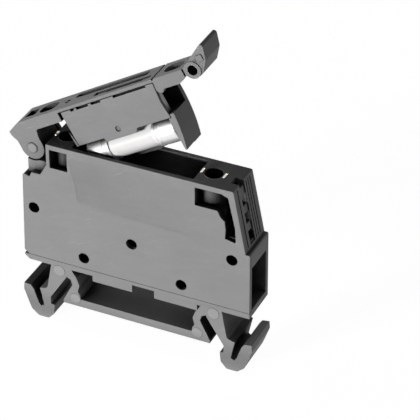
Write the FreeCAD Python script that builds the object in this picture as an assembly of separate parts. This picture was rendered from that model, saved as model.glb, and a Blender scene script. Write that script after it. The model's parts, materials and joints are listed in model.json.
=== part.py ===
import FreeCAD, Part
import math
import os

os.makedirs("parts", exist_ok=True)

# One slim fuse terminal block for a 35 mm mounting rail, with its fuse lever swung open.
# X runs along the current path, Y through the block's thickness and Z up, in millimetres.
# The origin is the middle of the plane that sits on the rail's two flanges.
# Lever pieces are drawn with the lever shut and are then turned about the pivot.

# Body
COVER_THICK = 0.9
BACK_WALL = 0.9
BODY_TOP = 34.2
SEAM_Z = 9.1
BAND_DROP = 1.2
FLANK_WALL = 1.2
FLANK_STEP_Z = 21.7
FLANK_STEP = 0.9
HUB_END = 2.1
LADDER_ROOM = 3.1
ROOF = 1.0
FLOOR_TOP = SEAM_Z + 0.1
SEAM_GAP = 0.05

# Clamp places, mirrored about the middle of the two screws
MID_X = -0.55
CAGE_LENGTH = 6.4
CAGE_SIDE_GAP = 0.5
CAGE_HEIGHT = 8.6
CAGE_WALL = 0.8
CAGE_TOP = 1.7
CAGE_FLOOR = 1.2
CAGE_LOW_Z = FLOOR_TOP + 0.3
CAGE_TRAVEL = 3.0
CAGE_GAP = 0.4
BAR_THICK = 1.0
BAR_SIDE_GAP = 0.25
BAR_Z = FLOOR_TOP + 5.4
BAR_FIT = 0.15
SCREW_RADIUS = 1.4
THREAD_FIT = 0.07
HEAD_RADIUS = 2.2
HEAD_HEIGHT = 1.9
HEAD_FIT = 0.3
HEAD_SLOT = 0.6
SHAFT_RADIUS = 1.7
TUBE_RADIUS = 2.4
TUBE_GAP = 0.1
PARTITION = 0.9
MOUTH_HEIGHT = 9.6
THROAT_HEIGHT = 4.6
THROAT_DEPTH = 4.6

# Fuse and its contacts
CAP_RADIUS = 2.6
CAP_LENGTH = 5.0
CAP_WALL = 0.28
CAP_END = 0.4
FUSE_LENGTH = 20.0
FUSE_SHIFT = -0.25
FUSE_DROP = 7.5
TUBE_BORE = 1.5
WIRE_RADIUS = 0.15
SHEET = 0.4
SPRING_DEPTH = 3.6
SPRING_GAP = 0.3
RIVET_RADIUS = 0.6
RIVET_HEAD = 1.1

# Lever
OPEN_DEG = 30.5
HUB_GAP = 0.95
PIVOT_DROP = 2.3
PIN_RADIUS = 1.0
PIN_FIT = 0.06
HUB_RADIUS = 2.35
LEVER_SIDE = 0.25
LEVER_SIDE_GAP = 0.35
LEVER_LIFT = 0.7
LEVER_THICK = 2.3
LEVER_WALL = 0.95
LEVER_END = 1.8
SWING_GAP = 0.3
WING_BACK = 2.3
WING_REACH = 4.0
WING_RISE = 3.7
PANEL_THICK = 0.7
PANEL_PROUD = 0.1
PANEL_FIT = 0.1
PANEL_GAP = 0.6
PANEL_LEFT_END = 0.7
PANEL_RIGHT_END = 0.9
SLOT_DEPTH = 1.4

# Foot and rail
RAIL_HALF = 17.5
RAIL_EDGE_GAP = 0.15
FLANGE_ROOM = 1.2
BAR_TOP_Z = 1.7
BAR_HALF = 11.5
STRUT_WIDTH = 3.0
THUMB_REACH = 5.8
THUMB_TOP = 2.1
FOOT_DROP = 4.7

# Small details
WINDOW_PITCH = 3.5
WINDOW_HEIGHT = 2.0
WINDOW_FRONT = -1.65
WINDOW_WIDTH = 2.0
PEG_RADIUS = 1.0
PEG_FIT = 0.1
PEG_END_GAP = 0.4
SOCKET_DEPTH = 1.9
DOWEL_RADIUS = 0.8
DOWEL_FIT = 0.02
DOWEL_WALL = 0.7
DOWEL_LENGTH = 3.2
TAB_WIDTH = 1.4
TAB_HEIGHT = 0.9
TAB_FIT = 0.03
TAB_REACH = 1.2

# Sizes and planes that follow from the ones above
LEVER_DEPTH = 2 * (CAP_RADIUS + LEVER_SIDE)
INNER_DEPTH = LEVER_DEPTH + 2 * LEVER_SIDE_GAP
CAGE_DEPTH = INNER_DEPTH - 2 * CAGE_SIDE_GAP
BAR_DEPTH = CAGE_DEPTH - 2 * (CAGE_WALL + BAR_SIDE_GAP)
FRONT = -INNER_DEPTH / 2 - COVER_THICK
REAR = INNER_DEPTH / 2 + BACK_WALL
INNER_FRONT = FRONT + COVER_THICK
INNER_REAR = REAR - BACK_WALL
BAND_BOTTOM = SEAM_Z - BAND_DROP
FUSE_X = MID_X + FUSE_SHIFT
FUSE_RIGHT = FUSE_X + FUSE_LENGTH / 2
FUSE_LEFT = FUSE_X - FUSE_LENGTH / 2
BAY_RIGHT = FUSE_RIGHT + LEVER_END + SWING_GAP
SCREW_X = BAY_RIGHT + TUBE_GAP + TUBE_RADIUS
SCREW_SPAN = 2 * (SCREW_X - MID_X)
TOP_LEFT_X = SCREW_X - SCREW_SPAN - TUBE_RADIUS
TOP_RIGHT_X = SCREW_X + TUBE_RADIUS + LADDER_ROOM
PIVOT_X = TOP_LEFT_X - HUB_GAP - HUB_RADIUS
BODY_HALF = HUB_END - PIVOT_X
SWING_RADIUS = FUSE_RIGHT + LEVER_END - PIVOT_X
WING_KINK_X = TOP_RIGHT_X - WING_BACK
WING_RIDGE_X = TOP_RIGHT_X + WING_REACH
PANEL_LEFT_X = FUSE_LEFT - PANEL_LEFT_END
PANEL_RIGHT_X = FUSE_RIGHT + PANEL_RIGHT_END
PIVOT_Z = BODY_TOP - PIVOT_DROP
FUSE_Z = BODY_TOP - FUSE_DROP
LEVER_UNDER = BODY_TOP + LEVER_LIFT
LEVER_TOP = LEVER_UNDER + LEVER_THICK
LEVER_FRONT = -LEVER_DEPTH / 2
LEVER_REAR = LEVER_DEPTH / 2
CHAMBER_NEAR = SCREW_X - CAGE_LENGTH / 2 - CAGE_GAP
CHAMBER_FAR = SCREW_X + CAGE_LENGTH / 2 + CAGE_GAP
HEAD_Z = CAGE_LOW_Z + CAGE_HEIGHT + CAGE_TRAVEL + 0.6
CHAMBER_TOP = HEAD_Z - 0.2
SHAFT_Z = HEAD_Z + HEAD_HEIGHT + HEAD_FIT
BAY_LOW_RIGHT = CHAMBER_NEAR - PARTITION
BAY_LOW_LEFT = 2 * MID_X - BAY_LOW_RIGHT
BAY_LEFT = 2 * MID_X - SCREW_X + SHAFT_RADIUS + 0.7
BAY_STEP_Z = CHAMBER_TOP + 1.0
MOUTH_TOP = FLOOR_TOP + MOUTH_HEIGHT
STEP_X = BODY_HALF - FLANK_STEP
SOCKET_RADIUS = PEG_RADIUS + PEG_FIT
PEG_LENGTH = SOCKET_DEPTH - PEG_END_GAP


def box(x0, x1, y0, y1, z0, z1):
    return Part.makeBox(x1 - x0, y1 - y0, z1 - z0, FreeCAD.Vector(x0, y0, z0))


def cyl_y(x, z, radius, y0, y1):
    return Part.makeCylinder(radius, y1 - y0, FreeCAD.Vector(x, y0, z), FreeCAD.Vector(0, 1, 0))


def cyl_z(x, y, radius, z0, z1):
    return Part.makeCylinder(radius, z1 - z0, FreeCAD.Vector(x, y, z0), FreeCAD.Vector(0, 0, 1))


def cyl_x(y, z, radius, x0, x1):
    return Part.makeCylinder(radius, x1 - x0, FreeCAD.Vector(x0, y, z), FreeCAD.Vector(1, 0, 0))


def rounded_wire(corners, place):
    """Closed wire through (u, v) or (u, v, radius) corners; place turns (u, v) into a point."""
    count = len(corners)
    starts = []
    middles = []
    ends = []
    for i in range(count):
        here = FreeCAD.Vector(corners[i][0], corners[i][1], 0)
        radius = corners[i][2] if len(corners[i]) > 2 else 0
        before = FreeCAD.Vector(corners[i - 1][0], corners[i - 1][1], 0) - here
        after = FreeCAD.Vector(corners[(i + 1) % count][0], corners[(i + 1) % count][1], 0) - here
        before.normalize()
        after.normalize()
        half = before.getAngle(after) / 2
        if radius > 0 and half < math.pi / 2 - 0.01:
            reach = radius / math.tan(half)
            inward = before + after
            inward.normalize()
            starts.append(here + before * reach)
            ends.append(here + after * reach)
            middles.append(here + inward * (radius / math.sin(half) - radius))
        else:
            starts.append(here)
            ends.append(here)
            middles.append(None)
    edges = []
    for i in range(count):
        if middles[i] is not None:
            arc = Part.Arc(place(starts[i]), place(middles[i]), place(ends[i]))
            edges.append(arc.toShape())
        following = starts[(i + 1) % count]
        if (following - ends[i]).Length > 1e-6:
            edges.append(Part.makeLine(place(ends[i]), place(following)))
    return Part.Wire(edges)


def profile(corners, y0, y1):
    """Solid from an X-Z outline, reaching from y0 to y1."""
    wire = rounded_wire(corners, lambda p: FreeCAD.Vector(p.x, y0, p.y))
    return Part.Face(wire).extrude(FreeCAD.Vector(0, y1 - y0, 0))


def plan(corners, z0, z1):
    """Solid from an X-Y outline, reaching from z0 to z1."""
    wire = rounded_wire(corners, lambda p: FreeCAD.Vector(p.x, p.y, z0))
    return Part.Face(wire).extrude(FreeCAD.Vector(0, 0, z1 - z0))


def bent_strip(path, thick, y0, y1):
    """Bent sheet metal whose middle line follows path in X-Z, with mitred bends."""
    left = []
    right = []
    for i in range(len(path)):
        here = FreeCAD.Vector(path[i][0], path[i][1], 0)
        normals = []
        if i > 0:
            along = here - FreeCAD.Vector(path[i - 1][0], path[i - 1][1], 0)
            along.normalize()
            normals.append(FreeCAD.Vector(-along.y, along.x, 0))
        if i < len(path) - 1:
            along = FreeCAD.Vector(path[i + 1][0], path[i + 1][1], 0) - here
            along.normalize()
            normals.append(FreeCAD.Vector(-along.y, along.x, 0))
        mitre = normals[0] + normals[-1]
        mitre.normalize()
        mitre = mitre * (thick / 2 / mitre.dot(normals[0]))
        left.append(here + mitre)
        right.append(here - mitre)
    ring = left + right[::-1]
    return profile([(p.x, p.y) for p in ring], y0, y1)


def funnel_x(x0, half_y0, low0, high0, x1, half_y1, low1, high1):
    """Tapered passage with flat walls between two upright rectangles that face along X."""
    rings = []
    for x, half_y, low, high in ((x0, half_y0, low0, high0), (x1, half_y1, low1, high1)):
        rings.append([
            FreeCAD.Vector(x, -half_y, low),
            FreeCAD.Vector(x, half_y, low),
            FreeCAD.Vector(x, half_y, high),
            FreeCAD.Vector(x, -half_y, high),
        ])
    first, last = rings
    loops = [first, last]
    for i in range(4):
        j = (i + 1) % 4
        loops.append([first[i], first[j], last[j], last[i]])
    faces = [Part.Face(Part.makePolygon(loop + loop[:1])) for loop in loops]
    solid = Part.Solid(Part.Shell(faces))
    if solid.Volume < 0:
        solid.reverse()
    return solid


def other_side(shape):
    """The same piece for the left clamp place."""
    return shape.mirror(FreeCAD.Vector(MID_X, 0, 0), FreeCAD.Vector(1, 0, 0))


def swung(shape):
    """Turn a piece of the shut lever to the open rest position."""
    turned = shape.copy()
    turned.rotate(FreeCAD.Vector(PIVOT_X, 0, PIVOT_Z), FreeCAD.Vector(0, -1, 0), OPEN_DEG)
    return turned


def join(first, others):
    return first.fuse(others).removeSplitter()


def save(name, shape):
    solid = shape.removeSplitter()
    if len(solid.Solids) == 1:
        solid = solid.Solids[0]
    if not solid.isValid():
        raise ValueError(name + " is not a valid shape")
    if len(solid.Solids) != 1:
        raise ValueError(name + " has " + str(len(solid.Solids)) + " solids")
    solid.exportStep("parts/" + name + ".step")


def flank_x(z, inset):
    """X of the slanted right flank at height z, moved inwards by inset."""
    share = (BODY_TOP - z) / (BODY_TOP - FLANK_STEP_Z)
    return TOP_RIGHT_X + share * (STEP_X - TOP_RIGHT_X) - inset


# Places of the five stacking sockets and pegs, and of the two pins that hold the cover
SOCKET_PLACES = (
    (MID_X - SCREW_SPAN / 2 - 5.35, BODY_TOP - 14.4),
    (MID_X + SCREW_SPAN / 2 + 5.35, BODY_TOP - 14.4),
    (MID_X, BODY_TOP - 16.8),
    (MID_X - SCREW_SPAN / 2 + 4.55, SEAM_Z + 2.3),
    (MID_X + SCREW_SPAN / 2 - 4.55, SEAM_Z + 2.3),
)
DOWEL_PLACES = (
    (TOP_LEFT_X - 3.0, SHAFT_Z + 0.6),
    (MID_X, FLOOR_TOP + 2.3),
)


def body_outline(bottom):
    """Outline shared by the moulded body and its cover, with the lever's shoulder at the left."""
    return [
        (-BODY_HALF + 1.0, bottom),
        (BODY_HALF, bottom),
        (BODY_HALF - 0.1, FLANK_STEP_Z, 0.3),
        (STEP_X, FLANK_STEP_Z),
        (TOP_RIGHT_X, BODY_TOP, 0.3),
        (TOP_LEFT_X, BODY_TOP),
        (TOP_LEFT_X, BODY_TOP - 4.4),
        (TOP_LEFT_X - 1.3, BODY_TOP - 6.8, 0.4),
        (TOP_LEFT_X - 3.1, BODY_TOP - 6.8),
        (TOP_LEFT_X - 3.6, BODY_TOP - 7.8),
        (-BODY_HALF + 0.4, BODY_TOP - 7.4, 0.4),
        (-BODY_HALF, bottom + 0.8),
    ]


def foot_side():
    """Left half of the rail foot: springy strut with hook and thumb arm, and the inner rail pad."""
    rail = -RAIL_HALF
    edge = rail - RAIL_EDGE_GAP
    tip = rail - THUMB_REACH
    low = -FOOT_DROP
    hook = profile([
        (rail + 0.3, BAND_BOTTOM + 0.3),
        (rail + 0.3 + STRUT_WIDTH, BAND_BOTTOM + 0.3),
        (rail + 0.3 + STRUT_WIDTH, BAND_BOTTOM - 2.0, 0.6),
        (edge, 0.4, 0.3),
        (edge, -FLANGE_ROOM),
        (rail + 0.6, -FLANGE_ROOM - 0.1),
        (rail + 0.4, -FLANGE_ROOM - 2.2, 0.6),
        (rail - 0.8, low, 0.6),
        (tip + 2.9, low, 0.9),
        (tip + 1.5, low + 1.2, 0.6),
        (tip + 1.0, low + 2.5, 1.0),
        (tip, THUMB_TOP - 1.4),
        (tip + 0.1, THUMB_TOP),
        (tip + 1.5, THUMB_TOP - 0.2),
        (tip + 2.1, THUMB_TOP - 1.0, 1.0),
        (tip + 3.0, low + 3.1),
        (tip + 3.5, low + 2.3, 0.3),
        (rail - 1.6, low + 2.8),
        (rail - 2.4, THUMB_TOP - 0.3),
        (rail - 0.8, THUMB_TOP + 0.1, 0.8),
    ], FRONT, REAR)
    pad = profile([
        (-BAR_HALF - 3.7, BAND_BOTTOM + 0.3),
        (-BAR_HALF - 1.8, BAND_BOTTOM + 0.3),
        (-BAR_HALF - 0.6, BAND_BOTTOM - 1.5, 0.8),
        (-BAR_HALF, BAND_BOTTOM - 3.1, 0.8),
        (-BAR_HALF - 0.4, BAND_BOTTOM - 4.6, 0.6),
        (-BAR_HALF + 0.1, BAR_TOP_Z + 0.8, 0.4),
        (-BAR_HALF + 0.1, 0),
        (-BAR_HALF - 3.45, 0),
        (-BAR_HALF - 3.45, 0.6),
        (-BAR_HALF - 1.45, BAND_BOTTOM - 3.3, 0.6),
        (-BAR_HALF - 1.8, BAND_BOTTOM - 2.2),
        (-BAR_HALF - 2.8, BAND_BOTTOM - 1.7),
    ], FRONT, REAR)
    return join(hook, [pad])


def clamp_room():
    """Hollow of the right clamp place: chamber, head room, driver shaft and bar slot."""
    chamber = box(CHAMBER_NEAR, CHAMBER_FAR, INNER_FRONT - 1, INNER_REAR, FLOOR_TOP, CHAMBER_TOP)
    head = cyl_z(SCREW_X, 0, HEAD_RADIUS + HEAD_FIT, CHAMBER_TOP - 0.5, SHAFT_Z)
    shaft = cyl_z(SCREW_X, 0, SHAFT_RADIUS, SHAFT_Z - 0.5, BODY_TOP + 1)
    half_slot = BAR_DEPTH / 2 + BAR_FIT
    slot = box(BAY_LOW_RIGHT - 1, CHAMBER_NEAR + 1, -half_slot, half_slot,
               BAR_Z - BAR_FIT, BAR_Z + BAR_THICK + BAR_FIT)
    return chamber.fuse([head, shaft, slot])


def mouth(outer_x):
    """Conductor funnel from the clamp chamber out to the flank at outer_x."""
    inner = CHAMBER_FAR - 0.3
    low = FLOOR_TOP + 0.5
    return funnel_x(inner, THROAT_DEPTH / 2, low, low + THROAT_HEIGHT,
                    outer_x + 0.4, INNER_REAR - 0.02, FLOOR_TOP + 0.1, MOUTH_TOP)


def make_housing():
    shell = profile(body_outline(BAND_BOTTOM), INNER_FRONT, REAR)
    below_seam = box(-BODY_HALF - 1, BODY_HALF + 1, FRONT, INNER_FRONT, 0, SEAM_Z - SEAM_GAP)
    band = profile(body_outline(BAND_BOTTOM), FRONT, INNER_FRONT).common(below_seam)
    lug = join(cyl_y(PIVOT_X, PIVOT_Z, HUB_RADIUS + 0.1, INNER_REAR, REAR), [
        box(PIVOT_X - HUB_RADIUS, TOP_LEFT_X + 0.5, INNER_REAR, REAR, BODY_TOP - 8.6, PIVOT_Z),
    ])
    pin = cyl_y(PIVOT_X, PIVOT_Z, PIN_RADIUS, LEVER_FRONT - 0.1, INNER_REAR + 0.3)
    skirts = [
        box(-8.7, -0.6, FRONT, FRONT + 1.0, SEAM_Z - 2.4, SEAM_Z - 0.5),
        box(3.8, 12.4, FRONT, FRONT + 1.0, SEAM_Z - 2.4, SEAM_Z - 0.5),
    ]
    left_foot = foot_side()
    right_foot = left_foot.mirror(FreeCAD.Vector(0, 0, 0), FreeCAD.Vector(1, 0, 0))
    bridge = box(-BAR_HALF, BAR_HALF, FRONT, REAR, 0, BAR_TOP_Z)
    solid = join(shell, [band, lug, pin, left_foot, right_foot, bridge] + skirts)

    bay = profile([
        (BAY_LOW_LEFT, FLOOR_TOP),
        (BAY_LOW_RIGHT, FLOOR_TOP),
        (BAY_LOW_RIGHT, BAY_STEP_Z, 0.3),
        (BAY_RIGHT, BAY_STEP_Z, 0.5),
        (BAY_RIGHT, BODY_TOP + 1),
        (BAY_LEFT, BODY_TOP + 1),
        (BAY_LEFT, BAY_STEP_Z, 0.5),
        (BAY_LOW_LEFT, BAY_STEP_Z, 0.3),
    ], INNER_FRONT - 1, INNER_REAR)
    notch = box(-0.6, 3.8, FRONT - 1, FRONT + 1.0, BAND_BOTTOM - 3, SEAM_Z - 0.8)
    pocket_top = BODY_TOP - ROOF
    right_pocket = profile([
        (BAY_RIGHT + 0.7, SHAFT_Z + 0.2),
        (flank_x(SHAFT_Z + 0.2, FLANK_WALL), SHAFT_Z + 0.2, 0.5),
        (flank_x(pocket_top, FLANK_WALL), pocket_top, 0.3),
        (BAY_RIGHT + 0.7, pocket_top, 0.3),
    ], INNER_FRONT - 1, INNER_REAR)
    left_pocket = profile([
        (-BODY_HALF + FLANK_WALL, SHAFT_Z + 0.2 - 1.2),
        (BAY_LEFT - 0.6, SHAFT_Z + 0.2 - 1.2),
        (BAY_LEFT - 0.6, pocket_top, 0.3),
        (TOP_LEFT_X + 0.9, pocket_top, 0.3),
        (TOP_LEFT_X + 0.9, BODY_TOP - 5.0),
        (TOP_LEFT_X - 0.6, BODY_TOP - 7.8),
        (TOP_LEFT_X - 2.4, BODY_TOP - 7.8),
        (TOP_LEFT_X - 2.8, BODY_TOP - 8.9),
        (-BODY_HALF + FLANK_WALL, BODY_TOP - 8.7),
    ], INNER_FRONT - 1, INNER_REAR)
    tube = cyl_z(SCREW_X, 0, TUBE_RADIUS, HEAD_Z - 0.5, BODY_TOP - 0.5)
    left_tube = other_side(tube)
    head_half = HEAD_RADIUS + HEAD_FIT + 0.7
    head_wall = box(SCREW_X - head_half, SCREW_X + head_half, INNER_FRONT, INNER_REAR + 0.1,
                    CHAMBER_TOP, SHAFT_Z + 0.6)
    web = box(SCREW_X - 0.5, SCREW_X + 0.5, 0, INNER_REAR + 0.1, SHAFT_Z, BODY_TOP - 0.5)
    dowel_x, dowel_z = DOWEL_PLACES[0]
    post = cyl_y(dowel_x, dowel_z, DOWEL_RADIUS + DOWEL_WALL, INNER_FRONT, INNER_REAR + 0.1)
    solid = solid.cut([bay, notch, right_pocket, left_pocket])
    inside = profile(body_outline(BAND_BOTTOM), INNER_FRONT, INNER_REAR + 0.05)
    fill = tube.fuse([left_tube, head_wall, other_side(head_wall), web, other_side(web), post])
    solid = join(solid, [fill.common(inside)])
    room = clamp_room()
    right_mouth = mouth(BODY_HALF)
    left_mouth = mouth(2 * MID_X + BODY_HALF)
    solid = solid.cut([room, other_side(room), right_mouth, other_side(left_mouth)])

    x, z = DOWEL_PLACES[1]
    solid = join(solid, [
        cyl_y(x, z, DOWEL_RADIUS + DOWEL_WALL, INNER_FRONT, INNER_REAR + 0.1),
        box(x - 0.4, x + 0.4, INNER_FRONT + 0.6, INNER_REAR + 0.1, FLOOR_TOP - 0.1, z),
    ])
    hole_end = INNER_FRONT + DOWEL_LENGTH + 0.3
    holes = [cyl_y(x, z, DOWEL_RADIUS + DOWEL_FIT, INNER_FRONT - 0.5, hole_end)
             for x, z in DOWEL_PLACES]
    solid = solid.cut(holes)

    windows = []
    for i in range(4):
        middle = BODY_TOP - 0.1 - WINDOW_PITCH * i
        windows.append(box(flank_x(middle, FLANK_WALL + 0.4), STEP_X + 1, WINDOW_FRONT,
                           WINDOW_FRONT + WINDOW_WIDTH, middle - WINDOW_HEIGHT / 2,
                           middle + WINDOW_HEIGHT / 2))
    low = FLANK_STEP_Z + 0.6
    high = BODY_TOP - 0.5
    grooves = []
    for y, deep, wide in ((-2.75, 0.2, 0.3), (0.9, 0.2, 0.25), (1.7, 0.2, 0.25), (2.5, 0.2, 0.3),
                          (WINDOW_FRONT, 0.3, WINDOW_WIDTH)):
        grooves.append(profile([
            (flank_x(low, deep), low),
            (flank_x(low, -1.0), low),
            (flank_x(high, -1.0), high),
            (flank_x(high, deep), high),
        ], y, y + wide))
    solid = solid.cut(windows + grooves)
    room = SOCKET_RADIUS + 0.15
    recesses = [box(x - room, x + room, INNER_FRONT - 0.5, FRONT + SOCKET_DEPTH, z - room, z + room)
                for x, z in SOCKET_PLACES]
    pegs = [cyl_y(x, z, PEG_RADIUS, REAR - 0.2, REAR + PEG_LENGTH) for x, z in SOCKET_PLACES]
    return join(solid.cut(recesses), pegs)


def make_cover():
    plate = profile(body_outline(SEAM_Z), FRONT, INNER_FRONT)
    left_window = box(TOP_LEFT_X + 0.7, TOP_LEFT_X + 4.2, FRONT - 1, REAR,
                      BODY_TOP - 4.8, BODY_TOP - 1.0)
    right_window = profile([
        (SCREW_X - 1.8, BODY_TOP - 1.0, 0.1),
        (TOP_RIGHT_X - 2.2, BODY_TOP - 1.0, 0.3),
        (TOP_RIGHT_X - 0.95, BODY_TOP - 1.5, 0.2),
        (STEP_X - 2.1, BODY_TOP - 7.6),
        (STEP_X - 1.9, BODY_TOP - 10.6, 0.2),
        (STEP_X - 4.0, BODY_TOP - 10.2, 0.2),
        (STEP_X - 3.9, BODY_TOP - 8.1, 0.3),
        (STEP_X - 4.1, BODY_TOP - 6.6, 0.3),
        (STEP_X - 4.9, BODY_TOP - 5.9, 0.2),
        (STEP_X - 5.5, BODY_TOP - 4.7, 0.3),
        (SCREW_X - 1.8, BODY_TOP - 4.7, 0.1),
    ], FRONT - 1, REAR)
    dowels = [cyl_y(x, z, DOWEL_RADIUS, INNER_FRONT - 0.2, INNER_FRONT + DOWEL_LENGTH)
              for x, z in DOWEL_PLACES]
    ridge = bent_strip([
        (TOP_LEFT_X + 4.4, BODY_TOP - 2.0),
        (TOP_LEFT_X + 5.0, BODY_TOP - 5.2),
        (TOP_LEFT_X + 5.6, BODY_TOP - 7.0),
        (TOP_LEFT_X + 5.9, BODY_TOP - 10.1),
        (TOP_LEFT_X + 6.7, BODY_TOP - 11.0),
        (MID_X + 9.6, BODY_TOP - 11.3),
    ], 0.5, FRONT - 0.1, FRONT + 0.1)
    plate = join(plate, dowels + [ridge])
    holes = [cyl_y(x, z, SOCKET_RADIUS, FRONT - 1, INNER_FRONT + 1) for x, z in SOCKET_PLACES]
    return plate.cut([left_window, right_window] + holes)


def panel_outline(grow):
    """Outline of the snap-in side panel of the lever, grown evenly by grow."""
    top = LEVER_TOP - 0.7
    low = FUSE_Z + CAP_RADIUS + 0.3
    return [
        (PANEL_LEFT_X - 0.1 - grow, FUSE_Z + 7.2),
        (PANEL_LEFT_X - grow, top + grow),
        (PANEL_RIGHT_X + grow, top + grow),
        (PANEL_RIGHT_X - 0.4 + grow, top - 3.6),
        (PANEL_RIGHT_X - 0.1 + grow, low - grow),
        (2.5 + grow, low - grow),
        (1.9 + grow, low - 0.8 - grow),
        (-4.9 - grow, low - 0.8 - grow),
        (-5.1 - grow, low - grow),
        (PANEL_LEFT_X + 0.7 - grow, low - grow),
    ]


PANEL_OUTER = LEVER_FRONT - PANEL_PROUD
PANEL_INNER = PANEL_OUTER + PANEL_THICK
PANEL_SEAT = PANEL_INNER + 0.05
PANEL_TABS = ((PANEL_LEFT_X + 2.0, FUSE_Z + 5.8), (MID_X + 5.4, FUSE_Z + 6.3))
SLOT_FRONT = PANEL_SEAT + 0.4
SLOT_RIGHT_X = FUSE_RIGHT - 0.1
SLOT_LEFT_X = SLOT_RIGHT_X - 12.6


def panel_tab(place, grow, y0, y1):
    """Snap tab of the side panel, grown evenly by grow."""
    x, z = place
    half_x = TAB_WIDTH / 2 + grow
    half_z = TAB_HEIGHT / 2 + grow
    return box(x - half_x, x + half_x, y0, y1, z - half_z, z + half_z)


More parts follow.
